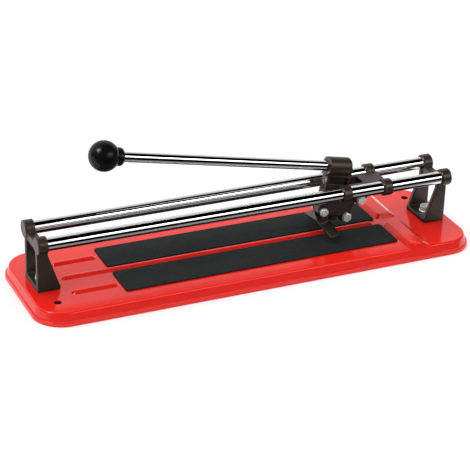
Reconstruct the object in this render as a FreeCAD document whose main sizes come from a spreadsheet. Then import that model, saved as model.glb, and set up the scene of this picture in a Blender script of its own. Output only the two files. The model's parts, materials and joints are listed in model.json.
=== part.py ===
import FreeCAD, Part
import math
import os
import re
import Sketcher

# A manual tile cutter: a pressed steel base, two round rails on cast end brackets, and a
# carriage with a hinged lever that carries a scoring wheel and a breaker foot.
# Millimetres, +X towards the end stop, +Y to the back, +Z up, origin on the floor under
# the middle of the base.

SIZES = {
    # Pressed base
    "base_length": 541.0,
    "base_width": 160.0,
    "rim_radius": 35.0,
    "skirt_height": 5.2,
    "rim_round": 1.4,
    "ledge_width": 2.4,
    "wall_lean": 2.2,
    "bed_height": 15.0,
    "top_round": 2.6,
    "steel_gauge": 1.5,
    "mount_hole_x": 241.8,
    "mount_hole_y": 49.2,
    "mount_hole_diameter": 9.0,
    # Pressed end stop and ribs
    "stop_foot": 12.0,
    "stop_foot_left": 177.8,
    "stop_rise": 5.6,
    "stop_top_left": 183.0,
    "stop_top_right": 198.5,
    "stop_foot_right": 212.2,
    "stop_round": 1.6,
    "stop_gap_foot": 5.1,
    "stop_gap_top": 9.0,
    "stop_corner": 5.0,
    "press_root": 1.0,
    "ridge_rise": 3.0,
    "ridge_half_width": 6.2,
    "ridge_half_top": 1.6,
    "ridge_corner": 5.0,
    "ridge_top_corner": 1.4,
    "ridge_round": 2.0,
    "ridge_left": -222.0,
    "ridge_right": 172.0,
    "side_rib_right": -166.5,
    "side_rib_y": 35.0,
    # Pads
    "pad_left": -163.5,
    "pad_right": 177.0,
    "pad_inner": 6.6,
    "pad_outer": 53.5,
    "pad_thickness": 2.0,
    "pad_corner": 3.0,
    # Rails and end brackets
    "rail_diameter": 15.0,
    "rail_half_spacing": 22.3,
    "rail_height": 73.1,
    "rail_half_length": 255.0,
    "ring_diameter": 20.0,
    "socket_outer_x": 256.6,
    "socket_inner_x": 245.0,
    "socket_edge": 0.8,
    "bracket_outer_x": 255.6,
    "bracket_foot_x": 229.0,
    "bracket_neck_x": 242.8,
    "bracket_leg_outer": 22.0,
    "bracket_leg_wall": 5.5,
    "bracket_floor": 5.0,
    "bracket_toe": 3.0,
    "bracket_shoulder": 3.0,
    "beam_recess": 1.5,
    "bracket_beam_low": 62.0,
    "bracket_beam_top": 71.8,
    "bracket_bolt_x": 243.0,
    "bracket_bolt_hole": 8.4,
    # Carriage
    "carriage_left": 113.8,
    "carriage_right": 177.8,
    "carriage_ring_length": 11.0,
    "slide_clearance": 0.06,
    "side_bar_inner": 8.8,
    "side_bar_outer": 13.6,
    "side_bar_low": 68.0,
    "side_bar_top": 77.0,
    "bridge_left": 150.0,
    "bridge_low": 70.0,
    "lug_thickness": 3.8,
    "lug_radius": 7.0,
    "lug_root": 1.0,
    "lug_root_left": 12.0,
    "lug_root_right": 15.0,
    "lug_eye_half": 6.4,
    "lug_eye_drop": 2.2,
    "pivot_x": 146.0,
    "pivot_z": 56.5,
    # Lever, in its own frame: origin on the pivot, x along the handle
    "lever_tilt": 11.4,
    "socket_left": -49.5,
    "socket_length": 30.0,
    "socket_nose": 3.0,
    "socket_height": 36.0,
    "socket_diameter": 22.0,
    "socket_depth": 26.5,
    "frame_left": -48.0,
    "frame_right": -17.0,
    "frame_half_width": 7.0,
    "window_left": -45.0,
    "window_right": -21.0,
    "window_low": 12.7,
    "window_top": 23.7,
    "window_depth": 4.4,
    "cheek_half_width": 6.0,
    "cheek_low": -25.3,
    "cheek_right": -4.5,
    "cheek_corner": 3.0,
    "cheek_brow": 9.0,
    "cheek_slope": 12.0,
    "hub_half_width": 8.5,
    "foot_pin_x": -43.5,
    "foot_pin_z": -19.2,
    "wheel_pin_x": -9.9,
    "wheel_pin_z": -25.3,
    "heel_left": -29.5,
    "heel_right": -21.5,
    "heel_low": -31.3,
    "heel_half_width": 5.0,
    "heel_root": 2.0,
    # Scoring wheel
    "wheel_diameter": 16.0,
    "wheel_width": 3.0,
    "wheel_slot": 3.4,
    "wheel_room": 0.8,
    "wheel_bevel": 1.5,
    # Handle
    "handle_diameter": 12.0,
    "ball_diameter": 35.0,
    "ball_distance": 279.8,
    "neck_diameter": 21.0,
    "neck_reach": 22.0,
    "neck_round": 4.0,
    "knob_core": 6.0,
    # Breaker foot, in its own frame: origin on its pin
    "foot_tilt": -12.0,
    "wing_reach": 35.0,
    "wing_left": -7.5,
    "wing_root_right": 6.6,
    "wing_tip_right": 5.5,
    "wing_root_top": -12.2,
    "wing_tip_top": -19.0,
    "wing_thickness": 3.6,
    "ear_inner": 6.3,
    "ear_thickness": 3.0,
    "ear_radius": 6.0,
    "ear_waist": 1.0,
    "ear_foot_half": 4.0,
    # Fasteners
    "small_bolt": 6.0,
    "pin_clearance": 0.05,
    "small_head": 10.6,
    "small_head_height": 3.2,
    "small_hex": 10.0,
    "small_hex_height": 4.0,
    "thin_nut": 3.2,
    "lock_nut": 5.0,
    "axle_lug": 11.0,
    "large_bolt": 8.0,
    "large_hex": 13.0,
    "large_hex_height": 5.3,
    "large_nut": 6.5,
    "large_bolt_length": 20.0,
    "washer_diameter": 16.0,
    "washer_thickness": 1.6,
}

document = FreeCAD.newDocument("TileCutter")
sheet = document.addObject("Spreadsheet::Sheet", "Sizes")
for row, (alias, number) in enumerate(SIZES.items(), start=1):
    sheet.set("A%d" % row, alias)
    sheet.set("B%d" % row, str(number))
    sheet.setAlias("B%d" % row, alias)
document.recompute()

SUB_PARTS = []
FLAT = 0.01


def linked(text):
    """A formula with every size name in it led by the spreadsheet's name."""
    return re.sub(r"\b([a-z]+(?:_[a-z]+)+)\b", r"Sizes.\1", text)


def number_of(text):
    """The present value of a formula."""
    return float(sheet.evalExpression(linked(text)))


def bind(item, prop, text):
    """Tie one property of an object to a formula of spreadsheet sizes."""
    item.setExpression(prop, linked(text))


def place(item, x="0", y="0", z="0", axis=(0, 1, 0), angle="0"):
    """Place an object, with its position and turn bound to the spreadsheet."""
    turn = FreeCAD.Rotation(FreeCAD.Vector(*axis), 1.0)
    item.Placement = FreeCAD.Placement(FreeCAD.Vector(), turn)
    bind(item, "Placement.Base.x", x)
    bind(item, "Placement.Base.y", y)
    bind(item, "Placement.Base.z", z)
    bind(item, "Placement.Rotation.Angle", angle)


def sub_part(item, label):
    """Register a finished piece under the name of its node."""
    item.Label = label
    SUB_PARTS.append(item)
    return item


# Sketch helpers


def new_sketch(body, plane, name, offset="0", centre=("0", "0")):
    """An empty sketch on an origin plane, moved along its normal and within it."""
    sketch = body.newObject("Sketcher::SketchObject", name)
    feature = [item for item in body.Origin.OriginFeatures if item.Role == plane][0]
    sketch.AttachmentSupport = [(feature, "")]
    sketch.MapMode = "FlatFace"
    bind(sketch, "AttachmentOffset.Base.x", centre[0])
    bind(sketch, "AttachmentOffset.Base.y", centre[1])
    bind(sketch, "AttachmentOffset.Base.z", offset)
    return sketch


def fix(sketch, kind, references, text):
    """Add a dimension to a sketch and bind it to a formula."""
    index = sketch.addConstraint(Sketcher.Constraint(kind, *references, number_of(text)))
    sketch.setExpression("Constraints[%d]" % index, linked(text))


def pin_point(sketch, geometry, position, x_text, y_text):
    """Dimension one point of a sketch from the sketch's origin."""
    fix(sketch, "DistanceX", (-1, 1, geometry, position), x_text)
    fix(sketch, "DistanceY", (-1, 1, geometry, position), y_text)


def outline(sketch, corners):
    """A closed straight-sided outline; each corner is a pair of formulas."""
    points = [FreeCAD.Vector(number_of(x), number_of(y), 0) for x, y in corners]
    first = sketch.GeometryCount
    count = len(points)
    for index in range(count):
        sketch.addGeometry(Part.LineSegment(points[index], points[(index + 1) % count]))
    for index in range(count):
        following = first + (index + 1) % count
        sketch.addConstraint(Sketcher.Constraint("Coincident", first + index, 2, following, 1))
    for index, (x_text, y_text) in enumerate(corners):
        pin_point(sketch, first + index, 1, x_text, y_text)
    return sketch


def rectangle(sketch, left, right, low, high):
    """A rectangle between four formulas."""
    return outline(sketch, [(left, low), (right, low), (right, high), (left, high)])


def circle(sketch, x_text, y_text, diameter):
    """A circle with its centre and diameter bound to formulas."""
    centre = FreeCAD.Vector(number_of(x_text), number_of(y_text), 0)
    up = FreeCAD.Vector(0, 0, 1)
    index = sketch.addGeometry(Part.Circle(centre, up, number_of(diameter) / 2))
    pin_point(sketch, index, 3, x_text, y_text)
    fix(sketch, "Diameter", (index,), diameter)
    return sketch


def rounded_rectangle(sketch, half_x, half_y, radius):
    """A rectangle round the origin whose corners are tangent arcs."""
    reach_x, reach_y, corner = number_of(half_x), number_of(half_y), number_of(radius)
    up = FreeCAD.Vector(0, 0, 1)
    for index, (side_x, side_y) in enumerate([(1, -1), (1, 1), (-1, 1), (-1, -1)]):
        centre = FreeCAD.Vector(side_x * (reach_x - corner), side_y * (reach_y - corner), 0)
        start = (index - 1) * math.pi / 2
        round_corner = Part.Circle(centre, up, corner)
        sketch.addGeometry(Part.ArcOfCircle(round_corner, start, start + math.pi / 2))
    for index in range(4):
        begin = sketch.Geometry[index].EndPoint
        end = sketch.Geometry[(index + 1) % 4].StartPoint
        sketch.addGeometry(Part.LineSegment(begin, end))
    full_x, full_y = "(%s)" % half_x, "(%s)" % half_y
    short_x, short_y = "(%s - (%s))" % (full_x, radius), "(%s - (%s))" % (full_y, radius)
    ends = [
        ((full_x, "-" + short_y), (full_x, short_y)),
        ((short_x, full_y), ("-" + short_x, full_y)),
        (("-" + full_x, short_y), ("-" + full_x, "-" + short_y)),
        (("-" + short_x, "-" + full_y), (short_x, "-" + full_y)),
    ]
    for index, (begin, end) in enumerate(ends):
        line = 4 + index
        pin_point(sketch, line, 1, *begin)
        pin_point(sketch, line, 2, *end)
        sketch.addConstraint(Sketcher.Constraint("Coincident", index, 2, line, 1))
        following = (index + 1) % 4
        sketch.addConstraint(Sketcher.Constraint("Coincident", line, 2, following, 1))
        fix(sketch, "Radius", (index,), radius)
    return sketch


# Feature helpers


def new_body(label):
    """A PartDesign body that becomes one node."""
    return sub_part(document.addObject("PartDesign::Body", "Body_" + label), label)


def extrude(kind, sketch, length, symmetric=True, backwards=False):
    """Pad or pocket a sketch; symmetric ones reach half the length to each side."""
    body = sketch.getParentGeoFeatureGroup()
    feature = body.newObject("PartDesign::" + kind, kind + "_" + sketch.Name)
    feature.Profile = sketch
    feature.SideType = "Symmetric" if symmetric else "One side"
    feature.Reversed = backwards
    bind(feature, "Length", length)
    document.recompute()
    return feature


def loft(kind, low_sketch, high_sketch):
    """A straight-sided loft between two sketches."""
    body = low_sketch.getParentGeoFeatureGroup()
    feature = body.newObject("PartDesign::%sLoft" % kind, kind + "_" + low_sketch.Name)
    feature.Profile = low_sketch
    feature.Sections = [high_sketch]
    feature.Ruled = True
    document.recompute()
    return feature


def dress(kind, base, size, chosen):
    """Fillet or chamfer the edges of a feature that a test picks."""
    names = []
    for index, edge in enumerate(base.Shape.Edges, start=1):
        if chosen(edge):
            names.append("Edge%d" % index)
    body = base.getParentGeoFeatureGroup()
    feature = body.newObject("PartDesign::" + kind, kind + "_" + base.Name)
    feature.Base = (base, names)
    bind(feature, "Radius" if kind == "Fillet" else "Size", size)
    document.recompute()
    return feature


def flat_at(height):
    """A test that picks the edges lying level at a height."""
    level = number_of(height)
    return lambda edge: edge.BoundBox.ZMin > level - FLAT and edge.BoundBox.ZMax < level + FLAT


def cylinder(name, diameter, length, axis, x, y, z):
    """A round bar that starts at a point and runs along an axis."""
    bar = document.addObject("Part::Cylinder", name)
    bind(bar, "Radius", "(%s) / 2" % diameter)
    bind(bar, "Height", length)
    turns = {"x": ((0, 1, 0), "90"), "y": ((1, 0, 0), "-90"), "z": ((0, 0, 1), "0")}
    turn_axis, angle = turns[axis]
    place(bar, x, y, z, turn_axis, angle)
    return bar


def hexagon(name, across_flats, height, axis, x, y, z):
    """A hexagonal block that starts at a point and runs along an axis."""
    block = document.addObject("Part::Prism", name)
    block.Polygon = 6
    bind(block, "Circumradius", "(%s) / 2 / cos(30)" % across_flats)
    bind(block, "Height", height)
    turns = {"y": ((1, 0, 0), "-90"), "z": ((0, 0, 1), "0")}
    turn_axis, angle = turns[axis]
    place(block, x, y, z, turn_axis, angle)
    return block


def fused(name, pieces):
    """Several solids joined into one."""
    joined = document.addObject("Part::MultiFuse", name)
    joined.Shapes = pieces
    joined.Refine = True
    return joined


def cut(name, base, tool):
    """One solid less another."""
    result = document.addObject("Part::Cut", name)
    result.Base = base
    result.Tool = tool
    return result


def group(name, pieces):
    """Separate solids kept together in one node."""
    together = document.addObject("Part::Compound", name)
    together.Links = pieces
    return together


def on_lever(x_text, z_text):
    """World formulas for a point given in the tilted frame of the lever."""
    along = "(%s)" % x_text
    across = "(%s)" % z_text
    world_x = "pivot_x + %s * cos(lever_tilt) + %s * sin(lever_tilt)" % (along, across)
    world_z = "pivot_z - %s * sin(lever_tilt) + %s * cos(lever_tilt)" % (along, across)
    return world_x, world_z


# Base: a pressed steel tray with an open underside


def tray_section(body, name, inset, height, corner):
    """One rounded outline of the tray at a height."""
    sketch = new_sketch(body, "XY_Plane", name, height)
    half_x = "base_length / 2 - %s" % inset
    half_y = "base_width / 2 - %s" % inset
    return rounded_rectangle(sketch, half_x, half_y, corner)


def pressed_section(body, name, height, reach_x, reach_y, corner):
    """One rounded outline of a pressed-up shape, between two pairs of formulas."""
    (left, right), (low, high) = reach_x, reach_y
    centre = ("(%s + %s) / 2" % (left, right), "(%s + %s) / 2" % (low, high))
    sketch = new_sketch(body, "XY_Plane", name, height, centre)
    half_x, half_y = "(%s - %s) / 2" % (right, left), "(%s - %s) / 2" % (high, low)
    return rounded_rectangle(sketch, half_x, half_y, corner)


def wall_face(height):
    """How far the tray's front and back walls stand from the middle at a height."""
    rise = "(%s - skirt_height) / (bed_height - skirt_height)" % height
    return "base_width / 2 - ledge_width - wall_lean * " + rise


def stop_block(body, kind, front, wall):
    """Half of the raised end stop, flush with the tray's wall, or the hollow under it."""
    name = kind + "Stop" + ("Front" if front else "Back")
    foot, top = "(stop_foot - %s)" % wall, "(bed_height + stop_rise - %s)" % wall
    sections = []
    for end, height in (("foot", foot), ("top", top)):
        left, right = "(stop_%s_left + %s)" % (end, wall), "(stop_%s_right - %s)" % (end, wall)
        inner, outer = "(stop_gap_%s + %s)" % (end, wall), "(%s - %s)" % (wall_face(height), wall)
        reach_y = ("(-%s)" % outer, "(-%s)" % inner) if front else (inner, outer)
        corner = "stop_corner - " + wall
        label = name + end.title()
        sections.append(pressed_section(body, label, height, (left, right), reach_y, corner))
    return loft(kind, *sections)


def rib(body, kind, name, centre, right, wall):
    """A long low rib pressed up out of the bed, or the hollow under it."""
    name = kind + name
    reach = "(ridge_half_width - %s)" % wall
    reach_x = ("(ridge_left + %s)" % wall, "(%s - %s)" % (right, wall))
    reach_y = ("(%s - %s)" % (centre, reach), "(%s + %s)" % (centre, reach))
    height = "bed_height - press_root - 1.5 * " + wall
    low = pressed_section(body, name + "Foot", height, reach_x, reach_y, "ridge_corner - " + wall)
    slope = "(ridge_half_width - ridge_half_top)"
    reach = "(ridge_half_top - %s / 2)" % wall
    reach_x = ("(ridge_left + %s)" % slope, "(%s - %s)" % (right, slope))
    reach_y = ("(%s - %s)" % (centre, reach), "(%s + %s)" % (centre, reach))
    corner = "ridge_top_corner - %s / 2" % wall
    height = "bed_height + ridge_rise - " + wall
    high = pressed_section(body, name + "Top", height, reach_x, reach_y, corner)
    return loft(kind, low, high)


def bore(body, plane, name, points, diameter):
    """Round holes right through a body, square to one of its planes."""
    sketch = new_sketch(body, plane, name)
    for x_text, y_text in points:
        circle(sketch, x_text, y_text, diameter)
    return extrude("Pocket", sketch, "2 * base_length")


def make_base():
    """The pressed tray: an outer form less the same form set in by the steel gauge."""
    body = new_body("base_plate")
    skirt = tray_section(body, "Skirt", "0", "0", "rim_radius")
    rim = extrude("Pad", skirt, "skirt_height", symmetric=False)
    dress("Fillet", rim, "rim_round", flat_at("skirt_height"))
    corner = "rim_radius - ledge_width"
    wall_foot = tray_section(body, "WallFoot", "ledge_width", "skirt_height", corner)
    inset = "(ledge_width + wall_lean)"
    wall_top = tray_section(body, "WallTop", inset, "bed_height", "rim_radius - " + inset)
    tray = loft("Additive", wall_foot, wall_top)
    dress("Fillet", tray, "top_round", flat_at("bed_height"))
    stop_block(body, "Additive", True, "0")
    stops = stop_block(body, "Additive", False, "0")
    dress("Fillet", stops, "stop_round", flat_at("bed_height + stop_rise"))
    ribs = {"Ridge": ("0", "ridge_right"), "FrontRib": ("-side_rib_y", "side_rib_right")}
    ribs["BackRib"] = ("side_rib_y", "side_rib_right")
    for name, (centre, right) in ribs.items():
        last_rib = rib(body, "Additive", name, centre, right, "0")
    dress("Fillet", last_rib, "ridge_round", flat_at("bed_height + ridge_rise"))
    rim_hollow = tray_section(body, "RimHollow", "steel_gauge", "0", "rim_radius - steel_gauge")
    rim_depth = "skirt_height - steel_gauge"
    extrude("Pocket", rim_hollow, rim_depth, symmetric=False, backwards=True)
    inset = "(ledge_width + steel_gauge)"
    hollow_foot = tray_section(body, "HollowFoot", inset, "0", "rim_radius - " + inset)
    inset = "(ledge_width + wall_lean + steel_gauge)"
    ceiling = "bed_height - steel_gauge"
    hollow_top = tray_section(body, "HollowTop", inset, ceiling, "rim_radius - " + inset)
    loft("Subtractive", hollow_foot, hollow_top)
    for front in (True, False):
        stop_block(body, "Subtractive", front, "steel_gauge")
    for name, (centre, right) in ribs.items():
        rib(body, "Subtractive", name, centre, right, "steel_gauge")
    mounts = [("mount_hole_x", "mount_hole_y"), ("-mount_hole_x", "-mount_hole_y")]
    bore(body, "XY_Plane", "MountHoles", mounts, "mount_hole_diameter")
    bolts = [("bracket_bolt_x", "0"), ("-bracket_bolt_x", "0")]
    bore(body, "XY_Plane", "BoltHoles", bolts, "bracket_bolt_hole")


def make_pad(label, side):
    """A flat rubber pad with rounded corners, glued to the bed beside the ridge."""
    body = new_body(label)
    sketch = new_sketch(body, "XY_Plane", "Outline_" + label)
    half_x = "(pad_right - pad_left) / 2"
    half_y = "(pad_outer - pad_inner) / 2"
    rounded_rectangle(sketch, half_x, half_y, "pad_corner")
    extrude("Pad", sketch, "pad_thickness", symmetric=False)
    middle_y = side + "(pad_outer + pad_inner) / 2"
    place(body, "(pad_right + pad_left) / 2", middle_y, "bed_height")


def make_bracket(label, turn):
    """A cast end bracket: floor plate, two legs, a beam and two blind rail sockets."""
    body = new_body(label)
    floor = new_sketch(body, "XY_Plane", "Floor", "bed_height")
    half_width = "bracket_leg_outer"
    rectangle(floor, "bracket_foot_x", "bracket_outer_x", "-" + half_width, half_width)
    extrude("Pad", floor, "bracket_floor", symmetric=False)
    leg_corners = [
        ("bracket_outer_x", "bed_height"),
        ("bracket_outer_x", "bracket_beam_low + bracket_shoulder"),
        ("bracket_neck_x", "bracket_beam_low + bracket_shoulder"),
        ("bracket_neck_x", "bracket_beam_low - bracket_shoulder"),
        ("bracket_foot_x", "bed_height + bracket_toe"),
        ("bracket_foot_x", "bed_height"),
    ]
    leg_starts = {"Front": "bracket_leg_outer - bracket_leg_wall", "Back": "-bracket_leg_outer"}
    for name, start in leg_starts.items():
        leg = new_sketch(body, "XZ_Plane", name + "Leg", start)
        outline(leg, leg_corners)
        extrude("Pad", leg, "bracket_leg_wall", symmetric=False)
    beam = new_sketch(body, "YZ_Plane", "Beam", "bracket_neck_x + beam_recess")
    rectangle(beam, "-" + half_width, half_width, "bracket_beam_low", "bracket_beam_top")
    thickness = "bracket_outer_x - bracket_neck_x - 2 * beam_recess"
    extrude("Pad", beam, thickness, symmetric=False)
    rings = new_sketch(body, "YZ_Plane", "Sockets", "socket_inner_x")
    for side in ("-", ""):
        circle(rings, side + "rail_half_spacing", "rail_height", "ring_diameter")
    sockets = extrude("Pad", rings, "socket_outer_x - socket_inner_x", symmetric=False)
    end_x = number_of("socket_outer_x")
    dress("Fillet", sockets, "socket_edge", lambda edge: edge.BoundBox.XMin > end_x - FLAT)
    seats = new_sketch(body, "YZ_Plane", "Seats", "bracket_neck_x")
    for side in ("-", ""):
        circle(seats, side + "rail_half_spacing", "rail_height", "rail_diameter")
    depth = "rail_half_length - bracket_neck_x"
    extrude("Pocket", seats, depth, symmetric=False, backwards=True)
    hole = new_sketch(body, "XY_Plane", "BoltHole", "bed_height")
    circle(hole, "bracket_bolt_x", "0", "bracket_bolt_hole")
    extrude("Pocket", hole, "bracket_floor", symmetric=False, backwards=True)
    place(body, axis=(0, 0, 1), angle=turn)


def make_rail(label, side):
    """A straight chromed rail held in the blind sockets of the two brackets."""
    start = ("-rail_half_length", side + "rail_half_spacing", "rail_height")
    rail = cylinder(label, "rail_diameter", "2 * rail_half_length", "x", *start)
    sub_part(rail, label)


def make_bracket_fasteners():
    """Hexagon bolt, washer and nut that clamp each bracket to the bed."""
    bolts, washers, nuts = [], [], []
    floor_top = "(bed_height + bracket_floor)"
    head_seat = "(%s + washer_thickness)" % floor_top
    shank_low = head_seat + " - large_bolt_length"
    nut_low = "bed_height - steel_gauge - large_nut"
    for name, side in (("Right", ""), ("Left", "-")):
        x = side + "bracket_bolt_x"
        seat = ("z", x, "0", head_seat)
        head = hexagon("Head" + name, "large_hex", "large_hex_height", *seat)
        seat = ("z", x, "0", shank_low)
        shank = cylinder("Shank" + name, "large_bolt", "large_bolt_length", *seat)
        bolts.append(fused("Bolt" + name, [head, shank]))
        seat = ("z", x, "0", floor_top)
        disc = cylinder("Disc" + name, "washer_diameter", "washer_thickness", *seat)
        hole = cylinder("DiscHole" + name, "bracket_bolt_hole", "washer_thickness", *seat)
        washers.append(cut("Washer" + name, disc, hole))
        seat = ("z", x, "0", nut_low)
        block = hexagon("NutBlock" + name, "large_hex", "large_nut", *seat)
        thread = cylinder("NutHole" + name, "large_bolt", "large_nut", *seat)
        nuts.append(cut("Nut" + name, block, thread))
    sub_part(group("BracketBolts", bolts), "bracket_bolts")
    sub_part(group("BracketWashers", washers), "bracket_washers")
    sub_part(group("BracketNuts", nuts), "bracket_nuts")


def make_carriage():
    """The cast carriage: four rail rings, two side bars, a bridge and two pivot lugs."""
    body = new_body("carriage")
    bars = new_sketch(body, "XY_Plane", "SideBars", "side_bar_low")
    rectangle(bars, "carriage_left", "carriage_right", "side_bar_inner", "side_bar_outer")
    rectangle(bars, "carriage_left", "carriage_right", "-side_bar_outer", "-side_bar_inner")
    extrude("Pad", bars, "side_bar_top - side_bar_low", symmetric=False)
    bridge = new_sketch(body, "XY_Plane", "Bridge", "bridge_low")
    rectangle(bridge, "bridge_left", "carriage_right", "-side_bar_outer", "side_bar_outer")
    extrude("Pad", bridge, "side_bar_top - bridge_low", symmetric=False)
    starts = {"Left": "carriage_left", "Right": "carriage_right - carriage_ring_length"}
    for name, start in starts.items():
        rings = new_sketch(body, "YZ_Plane", name + "Rings", start)
        for side in ("-", ""):
            circle(rings, side + "rail_half_spacing", "rail_height", "ring_diameter")
        extrude("Pad", rings, "carriage_ring_length", symmetric=False)
    lug_starts = {"Front": "side_bar_inner", "Back": "-side_bar_inner - lug_thickness"}
    for name, start in lug_starts.items():
        web = new_sketch(body, "XZ_Plane", name + "LugWeb", start)
        corners = [
            ("pivot_x - lug_root_left", "side_bar_low + lug_root"),
            ("pivot_x - lug_eye_half", "pivot_z - lug_eye_drop"),
            ("pivot_x + lug_eye_half", "pivot_z - lug_eye_drop"),
            ("pivot_x + lug_root_right", "side_bar_low + lug_root"),
        ]
        outline(web, corners)
        extrude("Pad", web, "lug_thickness", symmetric=False)
        eye = new_sketch(body, "XZ_Plane", name + "LugEye", start)
        circle(eye, "pivot_x", "pivot_z", "2 * lug_radius")
        extrude("Pad", eye, "lug_thickness", symmetric=False)
    rails = [("-rail_half_spacing", "rail_height"), ("rail_half_spacing", "rail_height")]
    bore(body, "YZ_Plane", "RailBores", rails, "rail_diameter + 2 * slide_clearance")
    bore(body, "XZ_Plane", "PivotBore", [("pivot_x", "pivot_z")], "small_bolt")


def make_lever():
    """The cast lever: handle socket, windowed frame, cheek, pivot hub and wheel slot."""
    body = new_body("lever")
    socket = new_sketch(body, "YZ_Plane", "Socket", "socket_left")
    circle(socket, "0", "socket_height", "socket_diameter")
    barrel = extrude("Pad", socket, "socket_length", symmetric=False)
    end_x = number_of("socket_left + socket_length")
    dress("Fillet", barrel, "socket_nose", lambda edge: edge.BoundBox.XMin > end_x - FLAT)
    cheek = new_sketch(body, "XZ_Plane", "Cheek")
    corners = [
        ("frame_left", "window_low"),
        ("frame_left", "foot_pin_z + cheek_brow"),
        ("foot_pin_x - ear_radius", "foot_pin_z + cheek_corner"),
        ("foot_pin_x - ear_radius", "foot_pin_z - cheek_corner"),
        ("foot_pin_x - ear_radius + cheek_corner", "cheek_low"),
        ("wheel_pin_x + cheek_corner", "cheek_low"),
        ("cheek_right", "cheek_low + cheek_slope"),
        ("cheek_right + cheek_corner", "0"),
        ("frame_right", "window_low"),
    ]
    outline(cheek, corners)
    extrude("Pad", cheek, "2 * cheek_half_width")
    frame = new_sketch(body, "XZ_Plane", "Frame")
    rectangle(frame, "frame_left", "frame_right", "0", "socket_height")
    extrude("Pad", frame, "2 * frame_half_width")
    heel = new_sketch(body, "XZ_Plane", "Heel")
    rectangle(heel, "heel_left", "heel_right", "heel_low", "cheek_low + heel_root")
    extrude("Pad", heel, "2 * heel_half_width")
    hub = new_sketch(body, "XZ_Plane", "Hub")
    circle(hub, "0", "0", "2 * lug_radius")
    extrude("Pad", hub, "2 * hub_half_width")
    axle_lug = new_sketch(body, "XZ_Plane", "AxleLug")
    circle(axle_lug, "wheel_pin_x", "wheel_pin_z", "axle_lug")
    extrude("Pad", axle_lug, "2 * cheek_half_width")
    windows = {"Front": ("frame_half_width", False), "Back": ("-frame_half_width", True)}
    for name, (start, backwards) in windows.items():
        window = new_sketch(body, "XZ_Plane", name + "Window", start)
        rectangle(window, "window_left", "window_right", "window_low", "window_top")
        extrude("Pocket", window, "window_depth", symmetric=False, backwards=backwards)
    seat = new_sketch(body, "YZ_Plane", "HandleSeat", "socket_left")
    circle(seat, "0", "socket_height", "handle_diameter")
    extrude("Pocket", seat, "socket_depth", symmetric=False, backwards=True)
    slot = new_sketch(body, "XZ_Plane", "WheelSlot")
    reach = "(wheel_diameter / 2 + wheel_room)"
    slot_sides = ("wheel_pin_x - " + reach, "wheel_pin_x + 3 * " + reach)
    rectangle(slot, *slot_sides, "wheel_pin_z - " + reach, "wheel_pin_z + " + reach)
    extrude("Pocket", slot, "wheel_slot")
    bore(body, "XZ_Plane", "PivotBore", [("0", "0")], "small_bolt + 2 * pin_clearance")
    pins = [("foot_pin_x", "foot_pin_z"), ("wheel_pin_x", "wheel_pin_z")]
    bore(body, "XZ_Plane", "PinBores", pins, "small_bolt")
    place(body, "pivot_x", "0", "pivot_z", angle="lever_tilt")


def make_handle():
    """The round handle bar, from the bottom of the lever's socket into the ball knob."""
    length = "socket_depth + ball_distance - knob_core"
    bar = cylinder("HandleBar", "handle_diameter", length, "x", "0", "0", "0")
    x, z = on_lever("socket_left + socket_depth", "socket_height")
    place(bar, x, "0", z, angle="lever_tilt - 90")
    sub_part(bar, "handle_rod")


def make_ball_knob():
    """A moulded ball with a short neck, bored for the end of the handle bar."""
    body = new_body("ball_knob")
    ball = body.newObject("PartDesign::AdditiveSphere", "Ball")
    bind(ball, "Radius", "ball_diameter / 2")
    document.recompute()
    sketch = new_sketch(body, "YZ_Plane", "Neck")
    circle(sketch, "0", "0", "neck_diameter")
    neck = extrude("Pad", sketch, "neck_reach", symmetric=False)
    end_x = number_of("neck_reach")
    dress("Fillet", neck, "neck_round", lambda edge: edge.BoundBox.XMin > end_x - FLAT)
    seat = new_sketch(body, "YZ_Plane", "Seat", "knob_core")
    circle(seat, "0", "0", "handle_diameter")
    extrude("Pocket", seat, "neck_reach", symmetric=False, backwards=True)
    x, z = on_lever("socket_left - ball_distance", "socket_height")
    place(body, x, "0", z, angle="lever_tilt")


def make_wheel():
    """The hardened scoring wheel: a disc with a sharp bevelled edge."""
    x, z = on_lever("wheel_pin_x", "wheel_pin_z")
    halves = []
    sides = (("Front", "-wheel_width / 2", "-90"), ("Back", "wheel_width / 2", "90"))
    for name, start, turn in sides:
        half = document.addObject("Part::Cone", "WheelHalf" + name)
        bind(half, "Radius1", "wheel_diameter / 2 - wheel_bevel")
        bind(half, "Radius2", "wheel_diameter / 2")
        bind(half, "Height", "wheel_width / 2")
        place(half, x, start, z, (1, 0, 0), turn)
        halves.append(half)
    disc = fused("WheelDisc", halves)
    diameter = "small_bolt + 2 * pin_clearance"
    hole = cylinder("WheelBore", diameter, "2 * wheel_width", "y", x, "-wheel_width", z)
    sub_part(cut("Wheel", disc, hole), "scoring_wheel")


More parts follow.
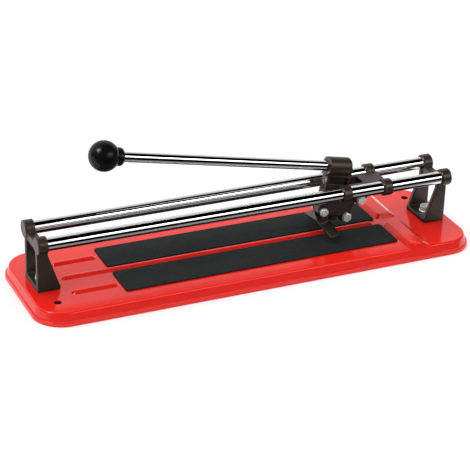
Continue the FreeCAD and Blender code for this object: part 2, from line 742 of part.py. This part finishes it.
def make_foot():
    """The breaker foot: a roof-shaped pressing bar hung on its pin by two ears."""
    body = new_body("breaker_foot")
    wings = new_sketch(body, "YZ_Plane", "Wings", "wing_left")
    corners = [
        ("0", "wing_root_top"),
        ("-wing_reach", "wing_tip_top"),
        ("-wing_reach", "wing_tip_top - wing_thickness"),
        ("0", "wing_root_top - wing_thickness"),
        ("wing_reach", "wing_tip_top - wing_thickness"),
        ("wing_reach", "wing_tip_top"),
    ]
    outline(wings, corners)
    extrude("Pad", wings, "wing_root_right - wing_left", symmetric=False)
    taper = new_sketch(body, "XY_Plane", "WingTaper")
    for side in ("-", ""):
        corners = [
            ("wing_root_right", side + "ear_inner"),
            ("wing_tip_right", side + "wing_reach"),
            ("2 * wing_root_right", side + "wing_reach"),
            ("2 * wing_root_right", side + "ear_inner"),
        ]
        outline(taper, corners)
    extrude("Pocket", taper, "2 * base_width")
    ear_starts = {"Front": "ear_inner", "Back": "-ear_inner - ear_thickness"}
    for name, start in ear_starts.items():
        eye = new_sketch(body, "XZ_Plane", name + "Eye", start)
        circle(eye, "0", "0", "2 * ear_radius")
        extrude("Pad", eye, "ear_thickness", symmetric=False)
        neck = new_sketch(body, "XZ_Plane", name + "Neck", start)
        neck_corners = [
            ("ear_waist - ear_radius", "0"),
            ("-ear_foot_half", "wing_root_top - ear_thickness"),
            ("ear_foot_half", "wing_root_top - ear_thickness"),
            ("ear_radius - ear_waist", "0"),
        ]
        outline(neck, neck_corners)
        extrude("Pad", neck, "ear_thickness", symmetric=False)
    bore(body, "XZ_Plane", "PinBore", [("0", "0")], "small_bolt + 2 * pin_clearance")
    x, z = on_lever("foot_pin_x", "foot_pin_z")
    place(body, x, "0", z, angle="foot_tilt")


def make_pin(label, x, z, front, back, head, nut_height):
    """A small bolt along Y with its nut; front and back are the faces that it clamps."""
    shank = cylinder("Shank_" + label, "small_bolt", front + " + " + back, "y", x, "-" + front, z)
    if head == "round":
        height = "small_head_height"
        seat = "-%s - %s" % (front, height)
        top = cylinder("Head_" + label, "small_head", height, "y", x, seat, z)
    else:
        height = "small_hex_height"
        seat = "-%s - %s" % (front, height)
        top = hexagon("Head_" + label, "small_hex", height, "y", x, seat, z)
    tail = cylinder("Tail_" + label, "small_bolt", nut_height, "y", x, back, z)
    sub_part(fused("Bolt_" + label, [top, shank, tail]), label + "_bolt")
    block = hexagon("NutBlock_" + label, "small_hex", nut_height, "y", x, back, z)
    hole = cylinder("NutHole_" + label, "small_bolt", nut_height, "y", x, back, z)
    sub_part(cut("Nut_" + label, block, hole), label + "_nut")


def make_pins():
    """The three small bolts: lever pivot, wheel axle and foot pin, each with its nut."""
    lug_face = "(side_bar_inner + lug_thickness)"
    make_pin("pivot", "pivot_x", "pivot_z", lug_face, lug_face, "hex", "lock_nut")
    x, z = on_lever("wheel_pin_x", "wheel_pin_z")
    make_pin("wheel", x, z, "cheek_half_width", "cheek_half_width", "hex", "thin_nut")
    x, z = on_lever("foot_pin_x", "foot_pin_z")
    ear_face = "(ear_inner + ear_thickness + pin_clearance)"
    make_pin("foot", x, z, ear_face, ear_face, "round", "thin_nut")


def check_document():
    """Stop if any object failed or any sub-part is empty or unsound."""
    for item in document.Objects:
        if "Invalid" in item.State or "Error" in item.State:
            raise RuntimeError("%s failed: %s" % (item.Name, item.State))
    for item in SUB_PARTS:
        if item.Shape.isNull() or not item.Shape.isValid() or not item.Shape.Solids:
            raise RuntimeError("%s has no sound shape" % item.Label)


def write_parts():
    """Write each sub-part to its own STEP file and print what it measures."""
    os.makedirs("parts", exist_ok=True)
    for item in SUB_PARTS:
        item.Shape.exportStep("parts/%s.step" % item.Label)
        solids, volume = len(item.Shape.Solids), item.Shape.Volume
        print("%-16s solids %d volume %9.0f" % (item.Label, solids, volume), item.Shape.BoundBox)


make_base()
make_pad("front_pad", "-")
make_pad("rear_pad", "")
make_bracket("right_bracket", "0")
make_bracket("left_bracket", "180")
make_rail("front_rail", "-")
make_rail("rear_rail", "")
make_bracket_fasteners()
make_carriage()
make_lever()
make_handle()
make_ball_knob()
make_wheel()
make_foot()
make_pins()
document.recompute()
check_document()
write_parts()
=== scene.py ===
import json
import math

import bmesh
import bpy
from mathutils import Matrix, Vector


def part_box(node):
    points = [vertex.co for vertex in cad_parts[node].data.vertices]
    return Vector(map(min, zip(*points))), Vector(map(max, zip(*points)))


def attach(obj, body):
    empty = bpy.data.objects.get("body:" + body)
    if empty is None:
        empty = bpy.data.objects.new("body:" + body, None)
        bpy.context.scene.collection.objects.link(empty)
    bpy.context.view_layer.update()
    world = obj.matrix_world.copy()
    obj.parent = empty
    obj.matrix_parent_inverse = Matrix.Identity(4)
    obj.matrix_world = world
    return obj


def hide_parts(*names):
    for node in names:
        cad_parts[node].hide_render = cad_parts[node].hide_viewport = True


# The looks of a manual tile cutter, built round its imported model. Metres, +X towards the
# end stop, +Y to the back, +Z up.

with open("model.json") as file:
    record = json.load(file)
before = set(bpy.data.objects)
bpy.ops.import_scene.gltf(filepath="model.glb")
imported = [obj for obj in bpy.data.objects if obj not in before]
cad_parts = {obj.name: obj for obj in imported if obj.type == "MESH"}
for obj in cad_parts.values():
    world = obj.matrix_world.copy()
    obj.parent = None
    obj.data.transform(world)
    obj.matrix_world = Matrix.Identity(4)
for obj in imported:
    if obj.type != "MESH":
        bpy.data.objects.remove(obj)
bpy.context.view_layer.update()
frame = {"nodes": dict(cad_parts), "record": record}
NODES = frame["nodes"]
BODY_OF = {}
for body_name, members in frame["record"]["behaviour"]["bodies"].items():
    for member in members:
        BODY_OF[member] = body_name
SLOT_OF = {entry["node"]: entry["material_slot"] for entry in frame["record"]["subparts"]}

MM = 0.001
HANDLE_TILT = math.radians(11.4)
PIN_BORE = 3.1 * MM
WHEEL_BORE = 3.05 * MM
AXES = {"x": Vector((1, 0, 0)), "y": Vector((0, 1, 0)), "z": Vector((0, 0, 1))}


# Camera


def make_camera():
    """A long lens to the front and left of the cutter, a little above it."""
    azimuth, elevation, roll = math.radians(-24.91), math.radians(26.86), math.radians(1.88)
    distance = 2.0378
    aim = Vector((-0.0029, 0.0146, 0.0237))
    right = Vector((math.cos(azimuth), math.sin(azimuth), 0))
    level = Vector((math.sin(azimuth), -math.cos(azimuth), 0))
    back = level * math.cos(elevation) + AXES["z"] * math.sin(elevation)
    up = back.cross(right)
    side = right * math.cos(roll) + up * math.sin(roll)
    top = up * math.cos(roll) - right * math.sin(roll)
    data = bpy.data.cameras.new("camera")
    data.sensor_width = 36.0
    data.lens = 134.14
    data.clip_start, data.clip_end = 0.05, 60.0
    camera = bpy.data.objects.new("camera", data)
    turn = Matrix((side, top, back)).transposed().to_4x4()
    camera.matrix_world = Matrix.Translation(aim + back * distance) @ turn
    bpy.context.scene.collection.objects.link(camera)
    bpy.context.scene.camera = camera


# Materials


class Paint:
    """A node material with a principled shader and a few helpers to detail it."""

    def __init__(self, name, color, roughness, metallic=0.0, **sockets):
        self.material = bpy.data.materials.new(name)
        self.material.use_nodes = True
        self.tree = self.material.node_tree
        self.shader = self.tree.nodes["Principled BSDF"]
        self.shader.inputs["Base Color"].default_value = (*color, 1.0)
        self.shader.inputs["Roughness"].default_value = roughness
        self.shader.inputs["Metallic"].default_value = metallic
        for socket, value in sockets.items():
            self.shader.inputs[socket.replace("_", " ")].default_value = value
        self.place = self.tree.nodes.new("ShaderNodeTexCoord").outputs["Object"]

    def noise(self, scale, detail=3.0, stretch=(1, 1, 1)):
        """Fractal noise in metres; scale is in blotches per metre."""
        mapping = self.tree.nodes.new("ShaderNodeMapping")
        mapping.inputs["Scale"].default_value = stretch
        self.tree.links.new(self.place, mapping.inputs["Vector"])
        texture = self.tree.nodes.new("ShaderNodeTexNoise")
        texture.inputs["Scale"].default_value = scale
        texture.inputs["Detail"].default_value = detail
        self.tree.links.new(mapping.outputs["Vector"], texture.inputs["Vector"])
        return texture.outputs["Fac"]

    def ramp(self, factor, low, high, start, end):
        """A colour ramp from one colour to another between two factors."""
        ramp = self.tree.nodes.new("ShaderNodeValToRGB")
        for element, position, color in zip(ramp.color_ramp.elements, (start, end), (low, high)):
            element.position = position
            element.color = (*color, 1.0)
        self.tree.links.new(factor, ramp.inputs["Fac"])
        return ramp.outputs["Color"]

    def color(self, factor, low, high, start=0.35, end=0.65):
        """Vary the base colour with a factor."""
        self.tree.links.new(self.ramp(factor, low, high, start, end), self.shader.inputs["Base Color"])
        return self

    def roughness(self, factor, low, high, start=0.35, end=0.65):
        """Vary the roughness with a factor."""
        greys = self.ramp(factor, (low,) * 3, (high,) * 3, start, end)
        self.tree.links.new(greys, self.shader.inputs["Roughness"])
        return self

    def bump(self, factor, depth, strength=1.0):
        """Add relief of a depth in metres; several calls stack up."""
        bump = self.tree.nodes.new("ShaderNodeBump")
        bump.inputs["Strength"].default_value = strength
        bump.inputs["Distance"].default_value = depth
        self.tree.links.new(factor, bump.inputs["Height"])
        normal = self.shader.inputs["Normal"]
        if normal.is_linked:
            self.tree.links.new(normal.links[0].from_socket, bump.inputs["Normal"])
        self.tree.links.new(bump.outputs["Normal"], normal)
        return self


def red_enamel():
    """Stoved gloss enamel with a faint orange peel."""
    paint = Paint("red_enamel", (0.76, 0.012, 0.006), 0.14, Specular_IOR_Level=0.5)
    paint.color(paint.noise(9), (0.74, 0.011, 0.005), (0.78, 0.013, 0.007))
    paint.roughness(paint.noise(60), 0.13, 0.16)
    return paint.bump(paint.noise(350, 1), 0.00004, 0.05).material


def pad_rubber():
    """Foam rubber with a fine leathery skin."""
    paint = Paint("pad_rubber", (0.013, 0.016, 0.015), 0.8, Specular_IOR_Level=0.2)
    paint.color(paint.noise(70, 4), (0.0120, 0.0150, 0.0140), (0.0150, 0.0180, 0.0170))
    paint.roughness(paint.noise(500), 0.74, 0.86)
    return paint.bump(paint.noise(1500, 4), 0.00012, 0.3).material


def dark_casting():
    """Dark brown-grey paint over the skin of a sand casting."""
    paint = Paint("dark_casting", (0.016, 0.0100, 0.0075), 0.42, Specular_IOR_Level=1.0)
    paint.shader.inputs["Specular Tint"].default_value = (1.0, 0.78, 0.68, 1.0)
    paint.color(paint.noise(90, 4), (0.014, 0.0088, 0.0066), (0.018, 0.0112, 0.0084))
    paint.roughness(paint.noise(350), 0.38, 0.46)
    paint.bump(paint.noise(260, 2), 0.0002, 0.2)
    return paint.bump(paint.noise(1400, 3), 0.00010, 0.3).material


def bright_chrome():
    """Polished chrome with faint lines from drawing the bar."""
    paint = Paint("bright_chrome", (0.90, 0.90, 0.91), 0.04, 1.0)
    paint.color(paint.noise(60, 2, (0.2, 1, 1)), (0.88, 0.88, 0.89), (0.92, 0.92, 0.93))
    return paint.roughness(paint.noise(90, 2, (0.02, 1, 1)), 0.03, 0.055).material


def zinc_steel():
    """Bright zinc plate, slightly cloudy."""
    paint = Paint("zinc_steel", (0.80, 0.80, 0.78), 0.3, 0.5)
    paint.color(paint.noise(500, 4), (0.74, 0.74, 0.72), (0.86, 0.86, 0.84))
    paint.roughness(paint.noise(900), 0.24, 0.38)
    return paint.bump(paint.noise(1800, 2), 0.00005, 0.3).material


def wheel_steel():
    """Ground hard metal with rings left by the grinding."""
    paint = Paint("wheel_steel", (0.50, 0.50, 0.50), 0.25, 1.0)
    paint.color(paint.noise(800, 3), (0.44, 0.44, 0.44), (0.56, 0.56, 0.57))
    return paint.roughness(paint.noise(2500, 2, (1, 0.1, 1)), 0.2, 0.34).material


def black_plastic():
    """Glossy black moulded plastic."""
    paint = Paint("black_plastic", (0.004, 0.004, 0.004), 0.26, Specular_IOR_Level=0.2)
    paint.color(paint.noise(120), (0.0035, 0.0035, 0.0035), (0.0050, 0.0050, 0.0050))
    paint.roughness(paint.noise(300), 0.24, 0.29)
    return paint.bump(paint.noise(260, 1), 0.00006, 0.1).material


MATERIALS = {
    make.__name__: make()
    for make in (
        red_enamel,
        pad_rubber,
        dark_casting,
        bright_chrome,
        zinc_steel,
        wheel_steel,
        black_plastic,
    )
}


def dress_nodes():
    """Give every node that stays the material of its slot."""
    for name, node in NODES.items():
        material = MATERIALS[SLOT_OF[name]]
        for entry in node.material_slots:
            entry.material = material
    # The rails would mirror the red tray, where they should show light grey.
    NODES["base_plate"].visible_glossy = False


# Mesh helpers


def new_piece(name, mesh, node, smooth_angle=None):
    """Turn a mesh into a piece that stands for a node, with its body, slot and material."""
    piece = bpy.data.objects.new(name, mesh)
    bpy.context.scene.collection.objects.link(piece)
    slot = SLOT_OF[node]
    mesh.materials.clear()
    mesh.materials.append(MATERIALS[slot])
    if smooth_angle is None:
        mesh.shade_smooth()
    else:
        mesh.set_sharp_from_angle(angle=math.radians(smooth_angle))
        mesh.polygons.foreach_set("use_smooth", [True] * len(mesh.polygons))
    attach(piece, BODY_OF[node])
    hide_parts(node)
    return piece


def basis(axis):
    """Three unit vectors: two across an axis and the axis itself."""
    axis = axis.normalized()
    first = AXES["z"] if abs(axis.z) < 0.9 else AXES["x"]
    across = axis.cross(first).normalized()
    return across, axis.cross(across), axis


def add_rings(bm, origin, axis, rings, count=96):
    """Skin a stack of rings about an axis. A ring is (distance, radius or function of angle)."""
    across, over, along = basis(axis)
    rows = []
    for distance, radius in rings:
        row = []
        for index in range(count):
            angle = 2 * math.pi * index / count
            reach = radius(angle) if callable(radius) else radius
            height = distance(angle) if callable(distance) else distance
            out = across * math.cos(angle) + over * math.sin(angle)
            row.append(bm.verts.new(origin + along * height + out * reach))
        rows.append(row)
    for low, high in zip(rows, rows[1:]):
        for index in range(count):
            following = (index + 1) % count
            bm.faces.new((low[index], low[following], high[following], high[index]))
    return rows


def cap(bm, row, flip=False):
    """Close a ring with one face."""
    bm.faces.new(row[::-1] if flip else row)


def finish_mesh(name, bm):
    """Make the mesh of a bmesh, with its faces turned outwards."""
    bmesh.ops.recalc_face_normals(bm, faces=bm.faces)
    mesh = bpy.data.meshes.new(name)
    bm.to_mesh(mesh)
    bm.free()
    return mesh


def close_tube(bm, rows):
    """Join the last ring of a tube's skin to its first, along the bore."""
    for index in range(len(rows[0])):
        following = (index + 1) % len(rows[0])
        bm.faces.new((rows[-1][index], rows[-1][following], rows[0][following], rows[0][index]))


def lathe(bm, origin, axis, profile, count=96):
    """A closed turned solid from a profile of (distance, radius) pairs."""
    rows = add_rings(bm, origin, axis, profile, count)
    cap(bm, rows[0], flip=True)
    cap(bm, rows[-1])


def hex_radius(across_flats):
    """The reach of a hexagon as a function of angle."""
    sector = math.pi / 3

    def reach(angle):
        return across_flats / 2 / math.cos((angle + sector / 2) % sector - sector / 2)

    return reach


def chamfered(height, across_flats, sign=1.0):
    """Height of a hexagon's chamfered rim as a function of angle."""
    reach = hex_radius(across_flats)
    flat = 0.475 * across_flats
    slope = math.tan(math.radians(30))

    def level(angle):
        return height - sign * max(0.0, reach(angle) - flat) * slope

    return level


def hex_head(bm, origin, axis, across_flats, height):
    """A hexagon bolt head: chamfered rim and a shallow dish on top."""
    reach = hex_radius(across_flats)
    flat = 0.475 * across_flats
    rings = [
        (0.0, reach),
        (chamfered(height, across_flats), reach),
        (height, flat),
        (height, flat * 0.86),
        (height - 0.3 * MM, flat * 0.80),
        (height - 0.3 * MM, flat * 0.2),
    ]
    lathe(bm, origin, axis, rings)


def hex_nut(bm, origin, axis, across_flats, height, bore):
    """A hexagon nut, chamfered on both faces and round the mouth of its bore."""
    reach = hex_radius(across_flats)
    flat = 0.475 * across_flats
    mouth = bore / 2 + 0.4 * MM
    rings = [
        (0.4 * MM, bore / 2),
        (0.0, mouth),
        (0.0, flat),
        (chamfered(0.0, across_flats, -1.0), reach),
        (chamfered(height, across_flats), reach),
        (height, flat),
        (height, mouth),
        (height - 0.4 * MM, bore / 2),
    ]
    close_tube(bm, add_rings(bm, origin, axis, rings))


def threaded_bar(bm, origin, axis, diameter, plain, length, pitch):
    """A bolt's shank: plain at first, then thread grooves up to a chamfered tip."""
    crest = diameter / 2
    root = crest - 0.55 * pitch
    profile = [(0.0, crest), (plain, crest)]
    distance = plain + pitch / 2
    while distance + pitch < length - pitch / 2:
        profile += [(distance, root), (distance + pitch / 2, crest)]
        distance += pitch
    profile += [(length - 0.6 * MM, crest), (length, crest - 0.6 * MM)]
    lathe(bm, origin, axis, profile, 48)


def pan_head(bm, origin, axis, diameter, height):
    """A round screw head, domed, with a cross recess in its top."""
    radius = diameter / 2
    arm, half = 0.52 * radius, 0.13 * radius

    def cross(scale):
        def reach(angle):
            quarter = (angle + math.pi / 4) % (math.pi / 2) - math.pi / 4
            along = arm / max(math.cos(quarter), 1e-6)
            side = half / max(abs(math.sin(quarter)), 1e-6)
            return scale * max(min(along, side), 1.45 * half)

        return reach

    rings = [
        (0.0, radius * 0.97),
        (0.08 * height, radius),
        (0.45 * height, radius * 0.99),
        (0.72 * height, radius * 0.90),
        (0.90 * height, radius * 0.74),
        (0.98 * height, radius * 0.60),
        (height, cross(1.0)),
        (0.45 * height, cross(0.72)),
    ]
    lathe(bm, origin, axis, rings, 144)


# Pieces


def middle(low, high):
    """The point half way between two corners."""
    return (low + high) / 2


def chrome_bar(node):
    """A round bar with small chamfers at its ends, along the longest line of its node."""
    points = [Vector(vertex.co) for vertex in NODES[node].data.vertices]
    low_x = min(point.x for point in points)
    high_x = max(point.x for point in points)
    span = high_x - low_x
    ends = []
    for low, high in ((low_x, low_x + span / 2), (low_x + span / 2, high_x)):
        chosen = [point for point in points if low <= point.x <= high]
        corner_low = Vector([min(point[axis] for point in chosen) for axis in range(3)])
        corner_high = Vector([max(point[axis] for point in chosen) for axis in range(3)])
        ends.append(middle(corner_low, corner_high))
    start, finish = ends
    axis = (finish - start).normalized()
    reach = [(point - start).dot(axis) for point in points]
    radius = max(((point - start) - axis * (point - start).dot(axis)).length for point in points)
    first, last = min(reach), max(reach)
    chamfer = 0.6 * MM
    profile = [
        (first, radius - chamfer),
        (first + chamfer, radius),
        (last - chamfer, radius),
        (last, radius - chamfer),
    ]
    bm = bmesh.new()
    lathe(bm, start, axis, profile, 128)
    return new_piece(node + "_bar", finish_mesh(node + "_bar", bm), node, 30)


def open_bore(mesh, bolt, radius=PIN_BORE):
    """Push a casting's surface clear of a 6 mm bolt, after remeshing has shrunk the bore."""
    low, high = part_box(bolt)
    centre = middle(low, high)
    for vertex in mesh.vertices:
        if not low.y <= vertex.co.y <= high.y:
            continue
        offset = Vector((vertex.co.x - centre.x, 0, vertex.co.z - centre.z))
        if 0 < offset.length < radius:
            offset = offset.normalized() * radius
            vertex.co = Vector((centre.x + offset.x, vertex.co.y, centre.z + offset.z))


def cast_copy(node, voxel=0.7 * MM, passes=5):
    """A casting with softened edges and corners, worked from its node's solid."""
    source = NODES[node]
    work = bpy.data.objects.new(node + "_work", source.data.copy())
    bpy.context.scene.collection.objects.link(work)
    remesh = work.modifiers.new("remesh", "REMESH")
    remesh.mode = "VOXEL"
    remesh.voxel_size = voxel
    remesh.adaptivity = 0.0
    smooth = work.modifiers.new("smooth", "SMOOTH")
    smooth.factor = 0.5
    smooth.iterations = passes
    graph = bpy.context.evaluated_depsgraph_get()
    mesh = bpy.data.meshes.new_from_object(work.evaluated_get(graph))
    bpy.data.objects.remove(work)
    mesh.name = node + "_cast"
    for bolt in ("pivot_bolt", "wheel_bolt", "foot_bolt"):
        open_bore(mesh, bolt)
    return new_piece(node + "_cast", mesh, node)


def rubber_pad(node):
    """A thin pad with rounded rims and corners and a flat top."""
    low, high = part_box(node)
    corner, rim = 3.0 * MM, 0.7 * MM
    centre = middle(low, high)
    half_x, half_y = (high.x - low.x) / 2, (high.y - low.y) / 2
    bm = bmesh.new()
    steps = 6

    def outline(inset, height):
        radius = corner - inset
        row = []
        for quarter in range(4):
            sign_x = 1 if quarter in (0, 3) else -1
            sign_y = 1 if quarter in (0, 1) else -1
            hub_x = centre.x + sign_x * (half_x - corner)
            hub_y = centre.y + sign_y * (half_y - corner)
            for step in range(steps + 1):
                angle = (quarter + step / steps) * math.pi / 2
                x = hub_x + radius * math.cos(angle)
                y = hub_y + radius * math.sin(angle)
                row.append(bm.verts.new((x, y, height)))
        return row

    rows = [outline(0.2 * MM, low.z), outline(0.0, low.z + 0.2 * MM)]
    for step in range(5):
        angle = step / 4 * math.pi / 2
        inset = rim * (1 - math.cos(angle))
        rows.append(outline(inset, high.z - rim + rim * math.sin(angle)))
    for first, second in zip(rows, rows[1:]):
        for index in range(len(first)):
            following = (index + 1) % len(first)
            bm.faces.new((first[index], first[following], second[following], second[index]))
    cap(bm, rows[0], flip=True)
    cap(bm, rows[-1])
    piece = new_piece(node + "_rubber", finish_mesh(node + "_rubber", bm), node, 60)
    return piece


def knob():
    """A ball with a short neck, turned in one profile, with a fine groove between them."""
    low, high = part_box("ball_knob")
    rod_low, rod_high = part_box("handle_rod")
    radius = (high.y - low.y) / 2
    rod_radius = (rod_high.y - rod_low.y) / 2
    axis = Vector((math.cos(HANDLE_TILT), 0, -math.sin(HANDLE_TILT)))
    centre = Vector((low.x + radius, 0, high.z - radius))
    neck, rounding = 10.5 * MM, 4.0 * MM
    reach = 22.0 * MM
    join = math.asin(neck / radius)
    profile = []
    steps = 48
    for step in range(1, steps + 1):
        angle = math.pi - (math.pi - join) * step / steps
        profile.append((radius * math.cos(angle), radius * math.sin(angle)))
    groove = profile[-1][0]
    waist = neck - 0.5 * MM
    profile += [(groove + 0.4 * MM, waist), (groove + 1.2 * MM, waist), (groove + 1.6 * MM, neck)]
    for step in range(9):
        angle = step / 8 * math.pi / 2
        along = reach - rounding + rounding * math.sin(angle)
        profile.append((along, neck - rounding + rounding * math.cos(angle)))
    profile.append((reach, rod_radius + 0.3 * MM))
    profile.append((reach - 1.0 * MM, rod_radius))
    bm = bmesh.new()
    lathe(bm, centre, axis, profile, 128)
    return new_piece("ball_knob_moulded", finish_mesh("ball_knob_moulded", bm), "ball_knob", 40)


def wheel():
    """The scoring wheel: flat faces, ground bevels and a sharp rim."""
    low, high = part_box("scoring_wheel")
    centre = middle(low, high)
    radius, half = (high.x - low.x) / 2, (high.y - low.y) / 2
    bevel = 1.6 * MM
    rings = [
        (-half * 0.9, WHEEL_BORE),
        (-half, WHEEL_BORE + 0.3 * MM),
        (-half, radius - bevel),
        (-0.04 * MM, radius),
        (0.04 * MM, radius),
        (half, radius - bevel),
        (half, WHEEL_BORE + 0.3 * MM),
        (half * 0.9, WHEEL_BORE),
    ]
    bm = bmesh.new()
    close_tube(bm, add_rings(bm, centre, AXES["y"], rings))
    return new_piece("scoring_wheel_ground", finish_mesh("scoring_wheel_ground", bm), "scoring_wheel", 25)


def cross_bolt(node, head_height, round_head, thread=6.0 * MM, hexagon=10.0 * MM):
    """A small bolt along Y: its head at the front and its threaded end at the back."""
    low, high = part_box(node)
    centre = middle(low, high)
    seat = Vector((centre.x, low.y + head_height, centre.z))
    bm = bmesh.new()
    if round_head:
        pan_head(bm, seat, -AXES["y"], high.x - low.x, head_height)
    else:
        hex_head(bm, seat, -AXES["y"], hexagon, head_height)
    length = high.y - seat.y
    threaded_bar(bm, seat - AXES["y"] * 0.2 * MM, AXES["y"], thread, length * 0.6, length, 1.0 * MM)
    return new_piece(node + "_turned", finish_mesh(node + "_turned", bm), node, 30)


def cross_nut(node, thread=6.0 * MM, hexagon=10.0 * MM):
    """The nut on a small bolt along Y."""
    low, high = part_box(node)
    centre = middle(low, high)
    origin = Vector((centre.x, low.y, centre.z))
    bm = bmesh.new()
    hex_nut(bm, origin, AXES["y"], hexagon, high.y - low.y, thread)
    return new_piece(node + "_turned", finish_mesh(node + "_turned", bm), node, 30)


def bracket_fasteners():
    """The two M8 bolts, washers and nuts that stand on end through the base."""
    hexagon, thread, bore = 13.0 * MM, 8.0 * MM, 8.4 * MM
    head_height = 5.3 * MM
    bolt_low, bolt_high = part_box("bracket_bolts")
    washer_low, washer_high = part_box("bracket_washers")
    nut_low, nut_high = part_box("bracket_nuts")
    reach = (washer_high.x - washer_low.x) / 2 - (washer_high.y - washer_low.y) / 2
    bolts, washers, nuts = bmesh.new(), bmesh.new(), bmesh.new()
    for side in (-1, 1):
        at = Vector((side * reach, 0, 0))
        seat = at + AXES["z"] * (bolt_high.z - head_height)
        hex_head(bolts, seat, AXES["z"], hexagon, head_height)
        length = seat.z - bolt_low.z
        start = seat + AXES["z"] * 0.2 * MM
        threaded_bar(bolts, start, -AXES["z"], thread, length * 0.35, length + 0.2 * MM, 1.25 * MM)
        radius = (washer_high.y - washer_low.y) / 2
        edge = 0.25 * MM
        thickness = washer_high.z - washer_low.z
        rings = [
            (0.0, bore / 2),
            (0.0, radius - edge),
            (edge, radius),
            (thickness - edge, radius),
            (thickness, radius - edge),
            (thickness, bore / 2),
        ]
        close_tube(washers, add_rings(washers, at + AXES["z"] * washer_low.z, AXES["z"], rings))
        hex_nut(nuts, at + AXES["z"] * nut_low.z, AXES["z"], hexagon, nut_high.z - nut_low.z, thread)
    for node, bm in (("bracket_bolts", bolts), ("bracket_washers", washers), ("bracket_nuts", nuts)):
        new_piece(node + "_turned", finish_mesh(node + "_turned", bm), node, 30)


# Stage


def link(item):
    """Put an object in the scene."""
    bpy.context.scene.collection.objects.link(item)
    return item


def floor():
    """A pale, almost even floor."""
    mesh = bpy.data.meshes.new("floor")
    reach = 8.0
    corners = [(-reach, -reach, 0), (reach, -reach, 0), (reach, reach, 0), (-reach, reach, 0)]
    mesh.from_pydata(corners, [], [(0, 1, 2, 3)])
    paint = Paint("floor", (0.90, 0.90, 0.90), 0.9, Specular_IOR_Level=0.1)
    paint.color(paint.noise(3), (0.89, 0.89, 0.89), (0.91, 0.91, 0.91))
    mesh.materials.append(paint.material)
    link(bpy.data.objects.new("floor", mesh))


def card(name, corners, glow):
    """A studio card that only shows in reflections: it glows evenly, or is black."""
    mesh = bpy.data.meshes.new(name)
    mesh.from_pydata([Vector(corner) for corner in corners], [], [(0, 1, 2, 3)])
    paint = Paint(name, (0.0, 0.0, 0.0), 1.0, Specular_IOR_Level=0.0)
    level = paint.noise(2, 1)
    soft = paint.ramp(level, (0.97,) * 3, (1.0,) * 3, 0.3, 0.7)
    paint.tree.links.new(soft, paint.shader.inputs["Emission Color"])
    paint.shader.inputs["Emission Strength"].default_value = glow
    mesh.materials.append(paint.material)
    sheet = link(bpy.data.objects.new(name, mesh))
    sheet.visible_camera = False
    sheet.visible_diffuse = False
    sheet.visible_shadow = False
    sheet.visible_transmission = False


def floor_card(name, front, back, glow):
    """A card just over the floor, between two distances along Y."""
    half, height = 7.0, 0.001
    corners = [(-half, front, height), (half, front, height), (half, back, height), (-half, back, height)]
    card(name, corners, glow)


def arc_card(name, radius, low, high, left, right, glow):
    """A card across the view of the rails, between two angles up from the front horizon."""
    start, end = math.radians(low), math.radians(high)
    corners = [
        (left, -radius * math.cos(start), radius * math.sin(start)),
        (right, -radius * math.cos(start), radius * math.sin(start)),
        (right, -radius * math.cos(end), radius * math.sin(end)),
        (left, -radius * math.cos(end), radius * math.sin(end)),
    ]
    card(name, corners, glow)


def overhead_light(name, direction, spread, strength):
    """A wide, even light from far away that shines along a direction."""
    data = bpy.data.lights.new(name, "SUN")
    data.angle = math.radians(spread)
    data.energy = strength
    lamp = link(bpy.data.objects.new(name, data))
    lamp.rotation_mode = "QUATERNION"
    lamp.rotation_quaternion = Vector(direction).to_track_quat("-Z", "Y")
    lamp.visible_glossy = False


def make_stage():
    """A pale floor, an even surround, a soft light, and cards for the chrome and enamel."""
    floor()
    floor_card("card_floor", -7.5, -0.20, 0.0)
    floor_card("card_floor_near", -0.20, -0.085, 0.25)
    arc_card("card_front", 1.9, 18, 47, 0.1, 1.9, 1.3)
    arc_card("card_front_core", 1.8, 32, 42, 0.3, 1.6, 5.0)
    arc_card("card_back_low", 2.6, 140, 180, -4.0, 5.0, 0.85)
    arc_card("card_back_high", 2.6, 112, 140, -4.0, 5.0, 0.6)
    left = [(-1.7, -0.35, 1.7), (-1.25, -0.35, 2.0), (-1.25, 0.3, 2.0), (-1.7, 0.3, 1.7)]
    card("card_left", left, 30.0)
    world = bpy.data.worlds.new("studio")
    bpy.context.scene.world = world
    world.use_nodes = True
    background = world.node_tree.nodes["Background"]
    background.inputs["Color"].default_value = (1.0, 1.0, 1.0, 1.0)
    background.inputs["Strength"].default_value = 0.8
    world.cycles_visibility.glossy = False
    overhead_light("key", (0.25, -0.15, -1.0), 60, 1.5)
    bpy.context.scene.view_settings.view_transform = "Standard"


make_camera()
dress_nodes()
for rail in ("front_rail", "rear_rail", "handle_rod"):
    chrome_bar(rail)
for casting in ("right_bracket", "left_bracket", "carriage", "lever", "breaker_foot"):
    cast_copy(casting)
for pad in ("front_pad", "rear_pad"):
    rubber_pad(pad)
knob()
wheel()
bracket_fasteners()
cross_bolt("pivot_bolt", 4.0 * MM, round_head=False)
cross_bolt("wheel_bolt", 4.0 * MM, round_head=False)
cross_bolt("foot_bolt", 3.2 * MM, round_head=True)
for nut in ("pivot_nut", "wheel_nut", "foot_nut"):
    cross_nut(nut)
make_stage()
